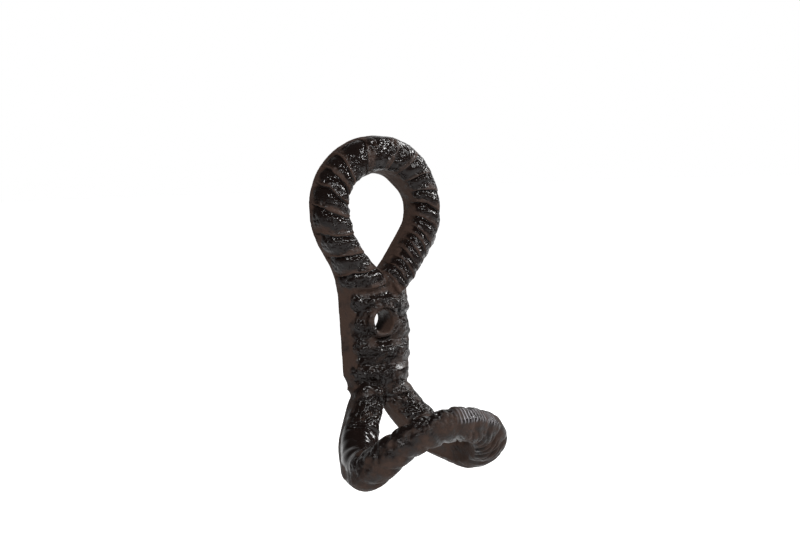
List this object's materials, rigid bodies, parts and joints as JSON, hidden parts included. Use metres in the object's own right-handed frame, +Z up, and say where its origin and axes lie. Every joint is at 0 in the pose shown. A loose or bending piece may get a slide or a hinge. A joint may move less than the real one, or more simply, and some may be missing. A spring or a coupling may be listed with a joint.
{
  "type": "wall hook",
  "caption": "Cast iron wall hook shaped like doubled rope: a teardrop eye at the top, a wrapped shank with a screw hole, and a split rope loop bent up into the hook.",
  "frame": {"origin": "on the screw hole's axis, in the wall plane that the flat back rests on", "axes": "+Z up along the shank, -Y out of the wall towards the hook, +X to the right seen from the front"},
  "size_m": [0.0668, 0.063, 0.1389],
  "materials": {
    "cast_iron": "rough sand-cast iron with a dark brown waxed surface"
  },
  "bodies": {
    "root": {"rope_hook": "cast_iron"}
  },
  "joints": []
}
